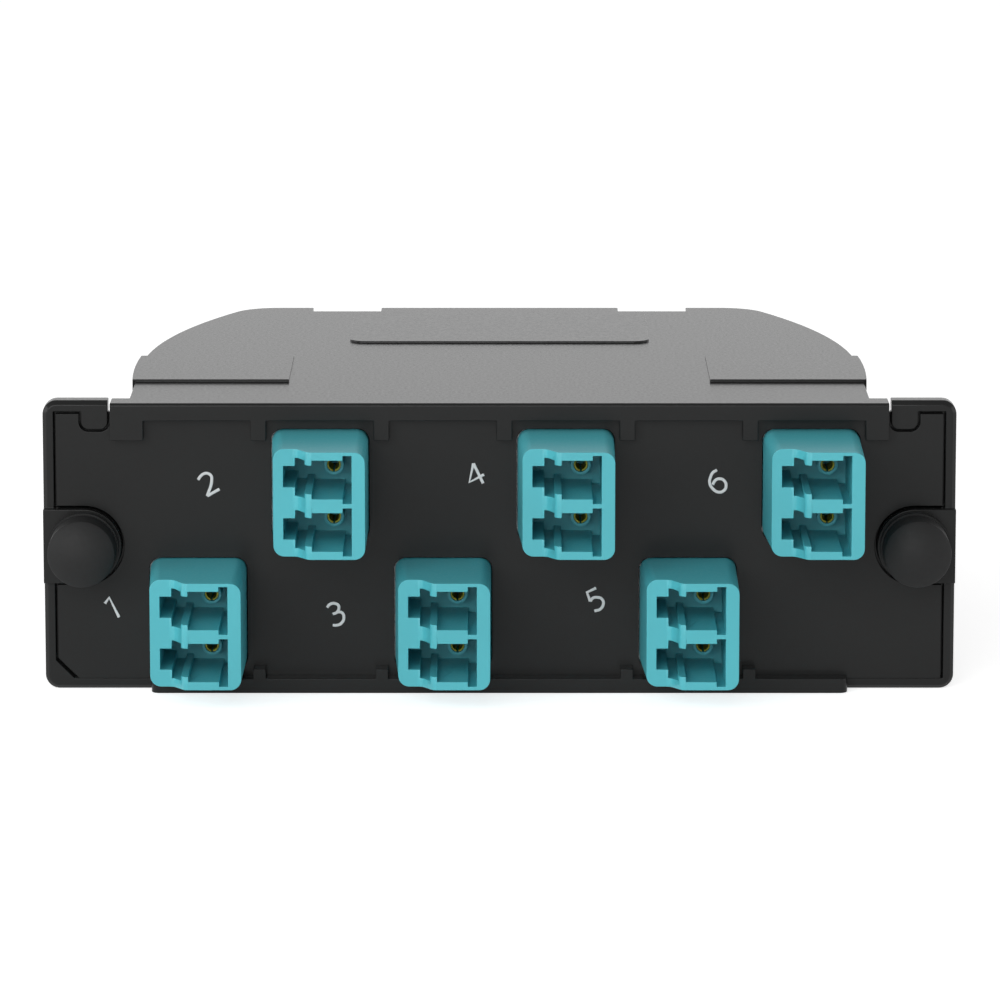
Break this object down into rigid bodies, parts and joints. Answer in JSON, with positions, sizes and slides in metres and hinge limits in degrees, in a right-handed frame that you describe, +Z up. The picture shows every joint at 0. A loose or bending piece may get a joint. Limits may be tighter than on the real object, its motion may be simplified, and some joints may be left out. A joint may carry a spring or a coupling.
{
  "type": "fibre cassette",
  "caption": "Flat black D-shaped fibre cassette with staggered duplex LC ports in its bezel, a push-pull plunger at each end and a multi-fibre port in the rear wall.",
  "frame": {"origin": "on the flat underside, midway across and below the front face of the bezel", "axes": "+X to the right as seen from the front, +Y to the rear of the case, +Z up"},
  "size_m": [0.1092, 0.0982, 0.0353],
  "materials": {
    "black_plastic": "fine satin moulding",
    "black_nylon": "satin",
    "aqua_plastic": "satin",
    "plug_plastic": "satin",
    "lead_jacket": "satin",
    "spring_steel": "bright sheet",
    "bronze": "bright"
  },
  "bodies": {
    "cassette": {"base_tray": "black_plastic", "top_cover": "black_plastic", "adapter_plate": "black_plastic", "lc_adapter_1": "aqua_plastic", "adapter_rear_1": "aqua_plastic", "adapter_clip_1": "spring_steel", "split_sleeve_1_lower": "bronze", "lc_plug_1_lower": "plug_plastic", "split_sleeve_1_upper": "bronze", "lc_plug_1_upper": "plug_plastic", "lc_adapter_2": "aqua_plastic", "adapter_rear_2": "aqua_plastic", "adapter_clip_2": "spring_steel", "split_sleeve_2_lower": "bronze", "lc_plug_2_lower": "plug_plastic", "split_sleeve_2_upper": "bronze", "lc_plug_2_upper": "plug_plastic", "lc_adapter_3": "aqua_plastic", "adapter_rear_3": "aqua_plastic", "adapter_clip_3": "spring_steel", "split_sleeve_3_lower": "bronze", "lc_plug_3_lower": "plug_plastic", "split_sleeve_3_upper": "bronze", "lc_plug_3_upper": "plug_plastic", "lc_adapter_4": "aqua_plastic", "adapter_rear_4": "aqua_plastic", "adapter_clip_4": "spring_steel", "split_sleeve_4_lower": "bronze", "lc_plug_4_lower": "plug_plastic", "split_sleeve_4_upper": "bronze", "lc_plug_4_upper": "plug_plastic", "lc_adapter_5": "aqua_plastic", "adapter_rear_5": "aqua_plastic", "adapter_clip_5": "spring_steel", "split_sleeve_5_lower": "bronze", "lc_plug_5_lower": "plug_plastic", "split_sleeve_5_upper": "bronze", "lc_plug_5_upper": "plug_plastic", "lc_adapter_6": "aqua_plastic", "adapter_rear_6": "aqua_plastic", "adapter_clip_6": "spring_steel", "split_sleeve_6_lower": "bronze", "lc_plug_6_lower": "plug_plastic", "split_sleeve_6_upper": "bronze", "lc_plug_6_upper": "plug_plastic", "mpo_adapter": "black_plastic", "mpo_plug": "plug_plastic", "fibre_leads": "lead_jacket", "left_grommet": "black_nylon", "right_grommet": "black_nylon"},
    "left_plunger": {"left_plunger": "black_nylon"},
    "right_plunger": {"right_plunger": "black_nylon"}
  },
  "joints": [
    {"name": "left_pull", "type": "slide", "parent": "cassette", "child": "left_plunger", "axis": [0, -1, 0], "range_m": [0, 0.004]},
    {"name": "right_pull", "type": "slide", "parent": "cassette", "child": "right_plunger", "axis": [0, -1, 0], "range_m": [0, 0.004]}
  ]
}
